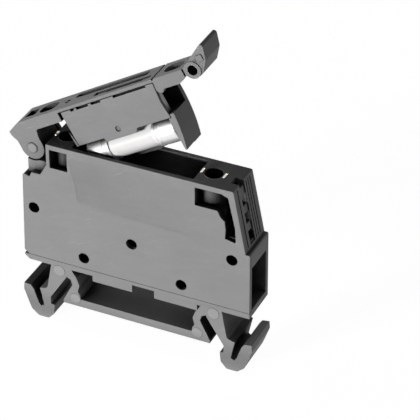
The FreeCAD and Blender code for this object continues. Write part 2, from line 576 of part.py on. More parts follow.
def make_lever():
    beam = profile([
        (PIVOT_X - 3.7, PIVOT_Z + 3.9, 0.3),
        (PIVOT_X - 0.4, LEVER_TOP, 2.0),
        (WING_KINK_X, LEVER_TOP, 1.0),
        (WING_RIDGE_X, LEVER_TOP + WING_RISE, 0.5),
        (WING_RIDGE_X - 1.1, LEVER_TOP + 0.2, 0.8),
        (WING_RIDGE_X - 2.9, LEVER_UNDER + 0.4, 0.8),
        (WING_RIDGE_X - 4.2, LEVER_UNDER, 0.8),
        (WING_KINK_X - 0.1, LEVER_UNDER + 1.0, 0.5),
        (WING_KINK_X - 1.8, LEVER_UNDER, 0.5),
        (PIVOT_X + 2.8, LEVER_UNDER, 0.5),
        (PIVOT_X + HUB_RADIUS, PIVOT_Z + 1.5, 0.5),
        (PIVOT_X + HUB_RADIUS, PIVOT_Z),
        (PIVOT_X - HUB_RADIUS, PIVOT_Z),
        (PIVOT_X - 2.3, PIVOT_Z + 2.2, 0.6),
    ], LEVER_FRONT, LEVER_REAR)
    end_plan = plan([
        (PIVOT_X - 3.8, LEVER_FRONT, 1.6),
        (WING_RIDGE_X + 1, LEVER_FRONT),
        (WING_RIDGE_X + 1, LEVER_REAR),
        (PIVOT_X - 3.8, LEVER_REAR, 1.6),
    ], 0, LEVER_TOP + WING_RISE + 1)
    beam = beam.common(end_plan)
    hub = cyl_y(PIVOT_X, PIVOT_Z, HUB_RADIUS, LEVER_FRONT, LEVER_REAR)
    low = FUSE_Z + CAP_RADIUS + 0.2
    rear_inner = LEVER_REAR - LEVER_WALL
    sweep = cyl_y(PIVOT_X, PIVOT_Z, SWING_RADIUS, LEVER_FRONT, LEVER_REAR)
    cap_under = FUSE_Z - CAP_RADIUS
    rear_wall = box(PANEL_LEFT_X, FUSE_RIGHT + 2.5, rear_inner, LEVER_REAR, low, LEVER_UNDER + 0.5)
    left_wall = box(PANEL_LEFT_X, PANEL_LEFT_X + 0.8, LEVER_FRONT, LEVER_REAR, low, LEVER_UNDER + 0.5)
    end_wall = box(FUSE_RIGHT + 0.2, FUSE_RIGHT + 3, LEVER_FRONT, LEVER_REAR,
                   cap_under - 1.0, LEVER_UNDER + 0.5)
    lip = box(FUSE_RIGHT - 2.0, FUSE_RIGHT + 0.6, 0.2, LEVER_REAR, cap_under - 1.1, cap_under - 0.2)
    tube_radius = CAP_RADIUS - CAP_WALL - 0.02
    tongue_inner = tube_radius + 0.12
    tongue = box(FUSE_X - 3.7, FUSE_X + 3.4, tongue_inner, LEVER_REAR,
                 FUSE_Z - tube_radius - 1.0, low + 1)
    ledge = box(FUSE_X - 3.7, FUSE_X + 3.4, 0.6, LEVER_REAR,
                FUSE_Z - tube_radius - 1.0, FUSE_Z - tube_radius - 0.3)
    box_parts = rear_wall.fuse([left_wall, end_wall, lip, tongue, ledge]).common(sweep)
    ring_x = WING_KINK_X + 1.9
    ring_z = LEVER_UNDER + 1.6
    ring = cyl_y(ring_x, ring_z, 1.6, LEVER_FRONT - 0.15, LEVER_FRONT + 0.5)
    pad = box(WING_RIDGE_X - 2.6, WING_RIDGE_X - 1.4, LEVER_FRONT - 0.15, LEVER_FRONT + 0.5,
              LEVER_TOP + 0.4, LEVER_TOP + 1.5)
    nose = profile([
        (PANEL_RIGHT_X + PANEL_FIT, LEVER_UNDER + 0.5),
        (PANEL_RIGHT_X + PANEL_FIT, LEVER_UNDER - 0.3),
        (PANEL_RIGHT_X + 0.5, LEVER_UNDER - 0.6),
        (PANEL_RIGHT_X + 1.1, LEVER_UNDER - 0.6),
        (PANEL_RIGHT_X + 2.0, LEVER_UNDER + 0.5),
    ], LEVER_FRONT, LEVER_FRONT + 0.9)
    bosses = [panel_tab(place, 0.7, SLOT_FRONT - 0.1, rear_inner + 0.3) for place in PANEL_TABS]
    lever = join(beam, [hub, box_parts, ring, pad] + bosses)

    cuts = [box(FUSE_RIGHT - 0.3, FUSE_RIGHT + 3, LEVER_FRONT - 1, rear_inner,
                FUSE_Z + CAP_RADIUS + 0.9, LEVER_UNDER)]
    lever = join(lever.cut(cuts), [nose])
    cuts = [profile(panel_outline(PANEL_FIT), LEVER_FRONT - 1, PANEL_SEAT)]
    cuts.append(box(WING_KINK_X - 0.25, WING_KINK_X + 0.1, LEVER_FRONT - 1, LEVER_FRONT + 0.3,
                    LEVER_UNDER + 0.8, LEVER_TOP + 1))
    cuts.append(cyl_y(PIVOT_X, PIVOT_Z, PIN_RADIUS + PIN_FIT, LEVER_FRONT - 1, LEVER_REAR + 1))
    cuts.append(cyl_y(ring_x, ring_z, 0.95, LEVER_FRONT - 1, LEVER_REAR + 1))
    for x in (SCREW_X, 2 * MID_X - SCREW_X):
        cuts.append(box(x - 0.5, x + 0.5, -1.6, 1.6, LEVER_UNDER - 1, LEVER_TOP + 1))
        cuts.append(cyl_z(x - 0.5, 0, 1.6, LEVER_UNDER - 1, LEVER_TOP + 1))
        cuts.append(cyl_z(x + 0.5, 0, 1.6, LEVER_UNDER - 1, LEVER_TOP + 1))
    cuts.append(box(SLOT_LEFT_X, SLOT_RIGHT_X, SLOT_FRONT, SLOT_FRONT + SLOT_DEPTH,
                    LEVER_UNDER - 0.5, LEVER_TOP + 1))
    cuts.append(plan([
        (PANEL_LEFT_X + 2.5, 0.3, 0.6),
        (PANEL_RIGHT_X - 2.5, 0.3, 0.6),
        (PANEL_RIGHT_X - 2.5, rear_inner, 0.6),
        (PANEL_LEFT_X + 2.5, rear_inner, 0.6),
    ], LEVER_UNDER - 0.5, LEVER_TOP + 1))
    cuts.append(box(PIVOT_X + 0.6, PIVOT_X + 2.8, -1.3, 1.3, LEVER_TOP - 1.3, LEVER_TOP + 1))
    cross_x = PANEL_LEFT_X + 1.0
    cuts.append(box(cross_x - 0.7, cross_x + 0.7, -0.2, 0.2, LEVER_TOP - 0.8, LEVER_TOP + 1))
    cuts.append(box(cross_x - 0.2, cross_x + 0.2, -0.7, 0.7, LEVER_TOP - 0.8, LEVER_TOP + 1))
    cuts.append(box(PANEL_RIGHT_X, PANEL_RIGHT_X + 0.35, LEVER_FRONT - 1, LEVER_REAR + 1,
                    LEVER_TOP - 0.3, LEVER_TOP + 1))
    for place in PANEL_TABS:
        cuts.append(panel_tab(place, TAB_FIT, SLOT_FRONT - 1, SLOT_FRONT + TAB_REACH + 0.3))
    return lever.cut(cuts)


def make_panel():
    plate = profile(panel_outline(0), PANEL_OUTER, PANEL_INNER)
    plate = join(plate, [panel_tab(place, 0, PANEL_INNER - 0.2, SLOT_FRONT + TAB_REACH)
                         for place in PANEL_TABS])
    top = LEVER_TOP - 0.7
    cuts = []
    for x0, x1 in ((2.8, 3.6), (4.2, 6.9), (7.6, 9.7), (12.6, 19.9)):
        cuts.append(box(PANEL_LEFT_X + x0, PANEL_LEFT_X + x1, PANEL_OUTER - 1, PANEL_INNER + 1,
                        top - 0.35, top + 1))
    cuts.append(cyl_y(FUSE_X - 0.5, FUSE_Z + 3.8, 0.55, PANEL_OUTER - 1, PANEL_OUTER + 0.2))
    cuts.append(box(PANEL_LEFT_X - 1, PANEL_LEFT_X + PANEL_GAP, PANEL_OUTER - 1, PANEL_INNER + 1,
                    FUSE_Z, LEVER_TOP))
    return plate.cut(cuts)


def make_fuse():
    start = FUSE_LEFT
    end = FUSE_RIGHT
    tube_radius = CAP_RADIUS - CAP_WALL - 0.02
    tube = cyl_x(0, FUSE_Z, tube_radius, start + CAP_END + 0.05, end - CAP_END - 0.05)
    tube = tube.cut(cyl_x(0, FUSE_Z, TUBE_BORE, start, end))
    cap = cyl_x(0, FUSE_Z, CAP_RADIUS, start, start + CAP_LENGTH)
    cap = cap.makeChamfer(0.3, [edge for edge in cap.Edges
                                if abs(edge.CenterOfMass.x - start) < 0.01])
    cap = cap.cut(cyl_x(0, FUSE_Z, CAP_RADIUS - CAP_WALL, start + CAP_END, end))
    other = cap.mirror(FreeCAD.Vector(FUSE_X, 0, 0), FreeCAD.Vector(1, 0, 0))
    wire = cyl_x(0, FUSE_Z, WIRE_RADIUS, start + CAP_END + 0.02, end - CAP_END - 0.02)
    return tube, cap, other, wire


def make_test_contacts():
    half = SPRING_DEPTH / 2 - 0.1
    line = FUSE_Z + CAP_RADIUS + 0.03 + SHEET / 2
    top = LEVER_TOP - 0.5
    front = SLOT_FRONT + 0.05
    rear = SLOT_FRONT + SLOT_DEPTH - 0.05
    end = FUSE_RIGHT
    start = FUSE_LEFT
    riser = SLOT_RIGHT_X - 0.05 - SHEET / 2
    right = join(bent_strip([(end - CAP_LENGTH + 0.4, line), (riser, line)], SHEET, -half, half), [
        bent_strip([(riser - 1.0, line), (riser, line), (riser, top), (riser - 1.9, top)],
                   SHEET, front, rear),
    ])
    inner = start + CAP_LENGTH + 0.4
    tab = SLOT_LEFT_X + 0.05 + SHEET / 2
    level = LEVER_UNDER - 1.5
    left = join(bent_strip([(start + 0.4, line), (inner, line)], SHEET, -half, half), [
        bent_strip([(inner - 1.0, line), (inner, line), (inner, level), (tab, level), (tab, top),
                    (tab + 1.9, top)], SHEET, front, rear),
    ])
    return left, right


def make_clamp_bar():
    """Current bar of the right side: a flat bar through the cage and a riser in the bay."""
    half = BAR_DEPTH / 2
    riser = BAY_LOW_RIGHT - 1.3
    flat = box(riser, CHAMBER_FAR - 1.0, -half, half, BAR_Z, BAR_Z + BAR_THICK)
    up = box(riser, riser + 0.8, -half, half, BAR_Z, FUSE_Z - CAP_RADIUS - 3.6)
    bar = join(flat, [up])
    hole = cyl_x(0, BAR_Z + 3.6, RIVET_RADIUS + 0.02, riser - 1, riser + 2)
    return bar.cut(hole)


def make_spring():
    """Leaf that meets the right fuse cap from below when the lever is shut."""
    half = SPRING_DEPTH / 2
    riser = BAY_LOW_RIGHT - 1.3
    line = riser - 0.02 - SHEET / 2
    crest = FUSE_Z - CAP_RADIUS - SPRING_GAP - SHEET / 2
    leaf = bent_strip([
        (line, BAR_Z + 2.0),
        (line, crest - 3.0),
        (line - 0.9, crest - 1.2),
        (line - 1.7, crest - 0.1),
        (line - 2.3, crest),
        (line - 2.9, crest - 0.3),
        (line - 3.6, crest - 1.7),
    ], SHEET, -half, half)
    hole = cyl_x(0, BAR_Z + 3.6, RIVET_RADIUS + 0.02, riser - 2, riser + 2)
    return leaf.cut(hole)


def make_rivet():
    riser = BAY_LOW_RIGHT - 1.3
    z = BAR_Z + 3.6
    outer = riser - 0.02 - SHEET
    shank = cyl_x(0, z, RIVET_RADIUS, outer - 0.3, riser + 1.1)
    head = cyl_x(0, z, RIVET_HEAD, outer - 0.42, outer - 0.02)
    tail = cyl_x(0, z, RIVET_HEAD - 0.1, riser + 0.82, riser + 1.12)
    return join(shank, [head, tail])


def make_cage():
    half = CAGE_LENGTH / 2
    depth = CAGE_DEPTH / 2
    top = CAGE_LOW_Z + CAGE_HEIGHT
    block = box(SCREW_X - half, SCREW_X + half, -depth, depth, CAGE_LOW_Z, top)
    upright = [edge for edge in block.Edges
               if abs(edge.Vertexes[0].X - edge.Vertexes[1].X) > CAGE_LENGTH - 0.1]
    block = block.makeFillet(0.5, upright)
    window = box(SCREW_X - half - 1, SCREW_X + half + 1, -depth + CAGE_WALL, depth - CAGE_WALL,
                 CAGE_LOW_Z + CAGE_FLOOR, top - CAGE_TOP)
    thread = cyl_z(SCREW_X, 0, SCREW_RADIUS + THREAD_FIT, top - CAGE_TOP - 1, top + 1)
    return block.cut([window, thread])


def make_screw():
    tip = BAR_Z + BAR_THICK + 0.1
    shank = cyl_z(SCREW_X, 0, SCREW_RADIUS, tip, HEAD_Z + 0.2)
    shank = shank.makeChamfer(0.3, [edge for edge in shank.Edges
                                    if abs(edge.CenterOfMass.z - tip) < 0.01])
    head = cyl_z(SCREW_X, 0, HEAD_RADIUS, HEAD_Z, HEAD_Z + HEAD_HEIGHT)
    rim = [edge for edge in head.Edges if abs(edge.CenterOfMass.z - HEAD_Z - HEAD_HEIGHT) < 0.01]
    head = head.makeChamfer(0.2, rim)
    screw = join(shank, [head])
    slot = box(SCREW_X - 3, SCREW_X + 3, -HEAD_SLOT / 2, HEAD_SLOT / 2,
               HEAD_Z + HEAD_HEIGHT - 1.0, HEAD_Z + HEAD_HEIGHT + 1)
    return screw.cut(slot)


fuse_tube, cap_left, cap_right, fuse_wire = make_fuse()
contact_left, contact_right = make_test_contacts()
clamp_bar = make_clamp_bar()
spring = make_spring()
rivet = make_rivet()
cage = make_cage()
screw = make_screw()

save("housing", make_housing())
save("side_cover", make_cover())
save("fuse_lever", swung(make_lever()))
save("lever_panel", swung(make_panel()))
save("fuse_tube", swung(fuse_tube))
save("fuse_cap_left", swung(cap_left))
save("fuse_cap_right", swung(cap_right))
save("fuse_wire", swung(fuse_wire))
save("test_contact_left", swung(contact_left))
save("test_contact_right", swung(contact_right))
save("clamp_bar_right", clamp_bar)
save("clamp_bar_left", other_side(clamp_bar))
save("contact_spring_right", spring)
save("contact_spring_left", other_side(spring))
save("contact_rivet_right", rivet)
save("contact_rivet_left", other_side(rivet))
save("clamp_cage_right", cage)
save("clamp_cage_left", other_side(cage))
save("clamp_screw_right", screw)
save("clamp_screw_left", other_side(screw))
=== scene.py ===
"""Looks of one slim fuse terminal block for a mounting rail, with its fuse lever swung open.

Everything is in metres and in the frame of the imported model: X along the current path,
Y through the thickness with the side cover in front, Z up from the rail's flanges.
"""

import json
import logging
import math
from dataclasses import dataclass, field
from enum import Enum

import bmesh
import bpy
from mathutils import Matrix, Vector


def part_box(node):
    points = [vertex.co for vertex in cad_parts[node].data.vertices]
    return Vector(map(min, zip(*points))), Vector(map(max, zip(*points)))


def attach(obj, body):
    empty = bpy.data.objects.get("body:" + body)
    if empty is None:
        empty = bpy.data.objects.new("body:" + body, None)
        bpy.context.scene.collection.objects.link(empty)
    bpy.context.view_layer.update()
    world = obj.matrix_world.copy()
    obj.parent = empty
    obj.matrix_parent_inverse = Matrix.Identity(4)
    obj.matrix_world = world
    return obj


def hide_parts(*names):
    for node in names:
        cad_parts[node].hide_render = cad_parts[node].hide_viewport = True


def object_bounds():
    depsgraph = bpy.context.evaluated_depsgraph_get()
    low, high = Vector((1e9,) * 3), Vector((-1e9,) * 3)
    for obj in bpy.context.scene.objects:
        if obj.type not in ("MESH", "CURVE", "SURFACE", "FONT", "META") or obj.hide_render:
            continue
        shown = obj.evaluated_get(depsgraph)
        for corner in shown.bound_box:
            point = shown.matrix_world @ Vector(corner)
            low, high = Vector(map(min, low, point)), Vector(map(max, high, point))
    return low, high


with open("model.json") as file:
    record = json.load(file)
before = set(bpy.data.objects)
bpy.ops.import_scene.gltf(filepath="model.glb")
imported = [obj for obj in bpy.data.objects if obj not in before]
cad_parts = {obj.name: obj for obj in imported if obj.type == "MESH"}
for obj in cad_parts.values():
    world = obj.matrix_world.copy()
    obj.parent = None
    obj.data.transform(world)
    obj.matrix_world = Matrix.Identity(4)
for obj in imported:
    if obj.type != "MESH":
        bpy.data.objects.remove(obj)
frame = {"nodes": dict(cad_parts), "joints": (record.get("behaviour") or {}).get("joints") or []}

log = logging.getLogger("fuse_terminal_block")

MM = 0.001
CAD_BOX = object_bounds()
LEVER_JOINT = next(j for j in frame["joints"] if j["name"] == "lever_pivot")
PIVOT = Vector(LEVER_JOINT["pos_m"])
OPEN_ANGLE = -math.radians(LEVER_JOINT["range_deg"][0])
OPEN_TURN = Matrix.Rotation(OPEN_ANGLE, 4, Vector(LEVER_JOINT["axis"]))
FLOW_LINE_RISE = 0.1 * MM
COVER_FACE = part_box("side_cover")[0].y + FLOW_LINE_RISE
Colour = tuple[float, float, float, float]


class Slot(Enum):
    """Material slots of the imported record."""

    HOUSING = "housing_plastic"
    LEVER = "lever_plastic"
    CERAMIC = "ceramic"
    CAP = "cap_metal"
    CONDUCTOR = "conductor_metal"
    STEEL = "steel"


class Look(Enum):
    """Finishes that pieces are dressed in."""

    HOUSING = "moulded_grey_housing"
    MARK = "smooth_grey_mark"
    LEVER = "moulded_grey_lever"
    CERAMIC = "glazed_white_ceramic"
    CAP = "nickel_plate"
    # Darker, duller copy of the nickel plate: painted shade on the test contacts.
    CONTACT_IN_PAINTED_SHADE = "nickel_plate_in_painted_shade"
    CONDUCTOR = "tinned_conductor"
    STEEL = "zinc_plated_steel"


class Side(Enum):
    """The two clamp places of the block."""

    LEFT = "left"
    RIGHT = "right"


def grey(level: float, warmth: float = 0.0) -> Colour:
    """Return a grey of that linear level, a little warm or cold."""
    return (level * (1 + warmth), level, level * (1 - warmth), 1.0)


# Shader building


class Wire:
    """A shader socket that adds Math nodes when it stands in an expression."""

    def __init__(self, graph: "Graph", socket: bpy.types.NodeSocket) -> None:
        """Keep the graph and the socket."""
        self.graph = graph
        self.socket = socket

    def _math(self, operation: str, first: "Wire | float", second: "Wire | float") -> "Wire":
        """Add one Math node with two inputs."""
        return self.graph.node("ShaderNodeMath", {"operation": operation}, {0: first, 1: second})

    def __add__(self, other: "Wire | float") -> "Wire":
        """Add."""
        return self._math("ADD", self, other)

    def __radd__(self, other: float) -> "Wire":
        """Add, number first."""
        return self._math("ADD", other, self)

    def __sub__(self, other: "Wire | float") -> "Wire":
        """Subtract."""
        return self._math("SUBTRACT", self, other)

    def __rsub__(self, other: float) -> "Wire":
        """Subtract from a number."""
        return self._math("SUBTRACT", other, self)

    def __mul__(self, other: "Wire | float") -> "Wire":
        """Multiply."""
        return self._math("MULTIPLY", self, other)

    def __rmul__(self, other: float) -> "Wire":
        """Multiply, number first."""
        return self._math("MULTIPLY", other, self)

    def clamped(self) -> "Wire":
        """Limit to the range from 0 to 1."""
        return self.graph.node("ShaderNodeClamp", {}, {0: self})


class Graph:
    """The node tree of one material or of the world."""

    def __init__(self, owner: "bpy.types.Material | bpy.types.World") -> None:
        """Empty the owner's node tree.

        Args:
            owner: The material or the world.
        """
        self.owner = owner
        owner.use_nodes = True
        self.tree = owner.node_tree
        self.tree.nodes.clear()

    def node(
        self,
        kind: str,
        settings: dict[str, object],
        sockets: dict[int | str, object],
        output: int | str = 0,
    ) -> "Wire | None":
        """Add any node.

        Args:
            kind: The node's type.
            settings: Properties of the node, set first.
            sockets: Values or wires by socket name or number.
            output: The output to return.

        Returns:
            The chosen output as a wire, or None on a node without outputs.
        """
        made = self.tree.nodes.new(kind)
        for name, value in settings.items():
            setattr(made, name, value)
        for key, value in sockets.items():
            if isinstance(value, Wire):
                self.tree.links.new(value.socket, made.inputs[key])
            else:
                made.inputs[key].default_value = value
        return Wire(self, made.outputs[output]) if len(made.outputs) else None

    def place(self, scale: tuple[float, float, float] = (1, 1, 1), turn: float = 0.0) -> Wire:
        """Read the place on the object.

        Args:
            scale: Factors on the place along each axis; a small one draws a pattern out.
            turn: Turn about Y in radians, made before the scale.

        Returns:
            The turned and scaled object coordinates.
        """
        coords = self.node("ShaderNodeTexCoord", {}, {}, "Object")
        turned = self.node("ShaderNodeMapping", {}, {"Vector": coords, "Rotation": (0, turn, 0)})
        return self.node("ShaderNodeMapping", {}, {"Vector": turned, "Scale": scale})

    def noise(self, place: Wire, grain_mm: float, detail: float = 2.0, rough: float = 0.5) -> Wire:
        """Add soft noise.

        Args:
            place: Where it is read.
            grain_mm: Size of its blotches.
            detail: Number of finer layers.
            rough: Strength of each finer layer.

        Returns:
            The noise, from 0 to 1.
        """
        sockets = {"Vector": place, "Scale": 1 / (grain_mm * MM), "Detail": detail, "Roughness": rough}
        return self.node("ShaderNodeTexNoise", {}, sockets)

    def blend(self, share: "Wire | float", first: "Wire | Colour", second: "Wire | Colour") -> Wire:
        """Mix two colours by share."""
        return self.node("ShaderNodeMix", {"data_type": "RGBA"}, {0: share, 6: first, 7: second}, 2)

    def corners(self, reach_mm: float) -> Wire:
        """Return 1 in the open and less in corners and slots of about that reach, for painting shade.
        """
        sockets = {"Distance": reach_mm * MM}
        return self.node("ShaderNodeAmbientOcclusion", {"samples": 6}, sockets, "AO")

    def above_floor(self, fade_mm: float) -> Wire:
        """Measure the height above the floor.

        Args:
            fade_mm: Height from which the result is 1.

        Returns:
            A share that rises from 0 at the floor to 1.
        """
        coords = self.node("ShaderNodeTexCoord", {}, {}, "Object")
        height = self.node("ShaderNodeSeparateXYZ", {}, {"Vector": coords}, "Z")
        return ((height - CAD_BOX[0].z) * (1 / (fade_mm * MM))).clamped()

    def soft_normal(self, radius_mm: float) -> Wire:
        """Return a normal that rounds each edge by that radius."""
        return self.node("ShaderNodeBevel", {"samples": 4}, {"Radius": radius_mm * MM})

    def edges(self, soft: Wire) -> Wire:
        """Find the edges, where a rounded normal leaves the real one.

        Args:
            soft: The rounded normal.

        Returns:
            A share that is 1 along the edges.
        """
        flat = self.node("ShaderNodeNewGeometry", {}, {}, "Normal")
        sockets = {0: soft, 1: flat}
        facing = self.node("ShaderNodeVectorMath", {"operation": "DOT_PRODUCT"}, sockets, "Value")
        return ((0.985 - facing) * 10.0).clamped()

    def bump(self, height: Wire, depth_mm: float, normal: Wire | None = None) -> Wire:
        """Turn a height into relief.

        Args:
            height: The height, from about 0 to 1.
            depth_mm: Depth of the relief.
            normal: The normal that the relief stands on.

        Returns:
            The normal with the relief.
        """
        sockets = {"Height": height, "Distance": depth_mm * MM, "Strength": 1.0}
        if normal is not None:
            sockets["Normal"] = normal
        return self.node("ShaderNodeBump", {}, sockets)

    def seen(self) -> Wire:
        """Tell the camera's view of a thing from the light that it gives.

        Returns:
            1 for what is seen, straight or in metal and glass, and 0 for light on the block.
        """
        rays = [
            self.node("ShaderNodeLightPath", {}, {}, f"Is {kind} Ray")
            for kind in ("Camera", "Glossy", "Transmission")
        ]
        return (rays[0] + rays[1] + rays[2]).clamped()

    def close(self, sockets: dict[str, object]) -> bpy.types.Material:
        """Add the surface shader.

        Args:
            sockets: Its values and wires by socket name.

        Returns:
            The finished material.
        """
        shader = self.node("ShaderNodeBsdfPrincipled", {}, sockets)
        self.node("ShaderNodeOutputMaterial", {}, {"Surface": shader})
        return self.owner


def empty_material(name: str) -> Graph:
    """Return the graph of a new material."""
    return Graph(bpy.data.materials.new(name))


# Finishes


@dataclass(frozen=True)
class MouldedPlastic:
    """Matt glass-filled plastic with a fine eroded grain, flow marks, light scuffs, edge wear with a
    painted edge highlight, and painted shade in hollows.
    """

    look: Look
    slot: Slot
    tone: float
    gloss: float = 0.46
    grain_mm: float = 0.16
    scuffs: float = 0.5
    painted_shade_reach_mm: float = 7.0
    cloud_mm: float = 6.0
    flow_mm: float = 1.4
    speck_mm: float = 0.45
    scratch_mm: float = 0.22
    edge_mm: float = 0.09
    relief_mm: float = 0.012
    floor_fade_mm: float = 5.0

    def make(self) -> bpy.types.Material:
        """Build the material.

        Returns:
            The finished material.
        """
        graph = empty_material(self.look.value)
        free = graph.place()
        cloud = graph.noise(free, self.cloud_mm, 3.0)
        flow = graph.noise(graph.place((0.25, 1, 1), 0.2), self.flow_mm, 2.0)
        grain = graph.noise(free, self.grain_mm, 2.0, 0.6)
        speck = graph.noise(free, self.speck_mm, 1.0)
        scratch = graph.noise(graph.place((0.06, 1, 1), 0.5), self.scratch_mm, 1.0)
        marks = ((scratch - 0.66) * 9.0).clamped() * ((cloud - 0.42) * 4.0).clamped() * self.scuffs
        soft = graph.soft_normal(self.edge_mm)
        # Lighter along rounded edges: partly edge wear, partly a painted edge highlight.
        edge_wear_and_highlight = graph.edges(soft) * (0.35 + speck * 0.65)
        # Painted shade: darker in corners, slots and recesses, faded out near the floor.
        open_air = (graph.corners(self.painted_shade_reach_mm) + 0.1).clamped()
        shade_in = (1.0 - open_air * open_air * open_air) * graph.above_floor(self.floor_fade_mm)
        shade = (0.5 + (cloud - 0.5) * 0.5 + (flow - 0.5) * 0.35 + (grain - 0.5) * 0.3).clamped()
        base = graph.blend(shade, grey(self.tone * 0.86), grey(self.tone * 1.14))
        base = graph.blend(((speck - 0.68) * 5.0).clamped() * 0.35, base, grey(self.tone * 1.5))
        # Lighter along scuffs, and along edges from wear and a painted edge highlight.
        base = graph.blend((marks * 0.5 + edge_wear_and_highlight * 0.4).clamped(), base, grey(self.tone * 1.75))
        # Painted shade: blends towards near black where shade_in is high.
        base = graph.blend((shade_in * 1.15).clamped(), base, grey(self.tone * 0.05))
        rough = self.gloss + (grain - 0.5) * 0.16 + (cloud - 0.5) * 0.1 - marks * 0.14
        relief = grain * 0.7 + speck * 0.3 - marks * 0.4
        return graph.close({
            "Base Color": base,
            "Roughness": rough,
            "Specular IOR Level": 0.05,
            "Normal": graph.bump(relief, self.relief_mm, soft),
        })


@dataclass(frozen=True)
class GlazedCeramic:
    """White glazed ceramic with a soft orange-peel surface and a few pores."""

    look: Look
    slot: Slot
    tone: float = 0.86
    cloud_mm: float = 2.2
    peel_mm: float = 0.35
    pore_mm: float = 0.16
    relief_mm: float = 0.006

    def make(self) -> bpy.types.Material:
        """Build the material.

        Returns:
            The finished material.
        """
        graph = empty_material(self.look.value)
        free = graph.place()
        cloud = graph.noise(free, self.cloud_mm, 2.0)
        peel = graph.noise(free, self.peel_mm, 1.0)
        pores = ((graph.noise(free, self.pore_mm, 1.0) - 0.74) * 12.0).clamped()
        base = graph.blend(cloud, grey(self.tone * 0.95, 0.012), grey(self.tone, 0.004))
        base = graph.blend(pores * 0.4, base, grey(self.tone * 0.55, 0.03))
        return graph.close({
            "Base Color": base,
            "Roughness": 0.2 + (peel - 0.5) * 0.12 + pores * 0.3,
            "Coat Weight": 0.5,
            "Coat Roughness": 0.06,
            "Normal": graph.bump(peel * 0.6 - pores * 0.8, self.relief_mm),
        })


@dataclass(frozen=True)
class PlatedMetal:
    """Plated sheet or turned metal with drawn lines, handling marks, dull patches and painted shade in
    hollows.
    """

    look: Look
    slot: Slot
    tone: float
    warmth: float
    gloss: float
    line_scale: tuple[float, float, float]
    turn: float = 0.0
    patches: float = 0.3
    metal: float = 1.0
    cloud_mm: float = 1.3
    line_mm: float = 0.12
    spot_mm: float = 0.3
    edge_mm: float = 0.05
    painted_shade_reach_mm: float = 2.5
    relief_mm: float = 0.003

    def make(self) -> bpy.types.Material:
        """Build the material.

        Returns:
            The finished material.
        """
        graph = empty_material(self.look.value)
        free = graph.place()
        cloud = graph.noise(free, self.cloud_mm, 3.0, 0.6)
        lines = graph.noise(graph.place(self.line_scale, self.turn), self.line_mm, 2.0)
        spots = ((graph.noise(free, self.spot_mm, 2.0) - 0.62) * 6.0).clamped()
        soft = graph.soft_normal(self.edge_mm)
        dull = ((cloud - 0.5) * 3.0).clamped() * self.patches
        base = graph.blend(
            (lines * 0.6 + dull).clamped(),
            grey(self.tone, self.warmth),
            grey(self.tone * 0.78, self.warmth * 1.3),
        )
        base = graph.blend(spots * 0.25, base, grey(self.tone * 0.5, self.warmth))
        # Painted shade: darker in hollows and corners.
        painted_hollow_shade = ((0.74 - graph.corners(self.painted_shade_reach_mm)) * 3.5).clamped()
        base = graph.blend(painted_hollow_shade, base, grey(self.tone * 0.1, self.warmth))
        return graph.close({
            "Base Color": base,
            "Metallic": self.metal,
            "Roughness": self.gloss + (lines - 0.5) * 0.12 + dull * 0.25 + spots * 0.1,
            "Normal": graph.bump(lines * 0.7 + cloud * 0.3, self.relief_mm, soft),
        })


@dataclass(frozen=True)
class Finishes:
    """All finishes of the block."""

    made: dict[Look, tuple[bpy.types.Material, Slot]] = field(default_factory=dict)

    def __post_init__(self) -> None:
        """Build each material once."""
        turned = {"line_scale": (1, 0.05, 0.05), "turn": OPEN_ANGLE}
        drawn = {"line_scale": (1, 0.05, 0.4)}
        upright = {"line_scale": (1, 1, 0.1)}
        for finish in (
            MouldedPlastic(Look.HOUSING, Slot.HOUSING, tone=0.295),
            MouldedPlastic(Look.MARK, Slot.HOUSING, tone=0.36, gloss=0.4, grain_mm=0.2, scuffs=0.3),
            MouldedPlastic(Look.LEVER, Slot.LEVER, tone=0.28, gloss=0.42, grain_mm=0.18, scuffs=0.7),
            GlazedCeramic(Look.CERAMIC, Slot.CERAMIC),
            PlatedMetal(Look.CAP, Slot.CAP, 0.93, 0.006, 0.33, patches=0.15, metal=0.5, **turned),
            # Test contact nickel: the cap's plate made darker as painted shade, and duller.
            PlatedMetal(Look.CONTACT_IN_PAINTED_SHADE, Slot.CAP, 0.3, 0.01, 0.4, patches=0.6, metal=0.8, **turned),
            PlatedMetal(Look.CONDUCTOR, Slot.CONDUCTOR, 0.66, 0.05, 0.3, **drawn),
            PlatedMetal(Look.STEEL, Slot.STEEL, 0.55, -0.02, 0.33, patches=0.6, **upright),
        ):
            self.made[finish.look] = (finish.make(), finish.slot)

    def dress(self, piece: bpy.types.Object, look: Look) -> None:
        """Give a piece or a CAD node its finish.

        Args:
            piece: The piece or node.
            look: The finish.
        """
        material, slot = self.made[look]
        piece.data.materials.clear()
        piece.data.materials.append(material)


# Mesh building


def reach(node: str, origin: Vector, direction: Vector) -> tuple[float, float, float]:
    """Measure a CAD node along a line.

    Args:
        node: The node's name.
        origin: A point on the line.
        direction: The line's unit direction.

    Returns:
        Lowest and highest place along the line, and the furthest distance from it.
    """
    spots = [v.co - origin for v in frame["nodes"][node].data.vertices]
    along = [spot.dot(direction) for spot in spots]
    away = [(spot - direction * place).length for spot, place in zip(spots, along)]
    return min(along), max(along), max(away)


def axis_frame(origin: Vector, direction: Vector) -> Matrix:
    """Return the turn and place that lay local X along direction at origin."""
    turn = Vector((1, 0, 0)).rotation_difference(direction).to_matrix().to_4x4()
    return Matrix.Translation(origin) @ turn


def arc(
    centre: tuple[float, float], radius: float, start: float, end: float, steps: int
) -> list[tuple[float, float]]:
    """Walk along an arc.

    Args:
        centre: Its centre.
        radius: Its radius.
        start: Angle of its first point, in degrees.
        end: Angle of its last point, in degrees.
        steps: Number of equal steps between them.

    Returns:
        Its points, both ends included.
    """
    points = []
    for i in range(steps + 1):
        angle = math.radians(start + (end - start) * i / steps)
        points.append((centre[0] + radius * math.cos(angle), centre[1] + radius * math.sin(angle)))
    return points


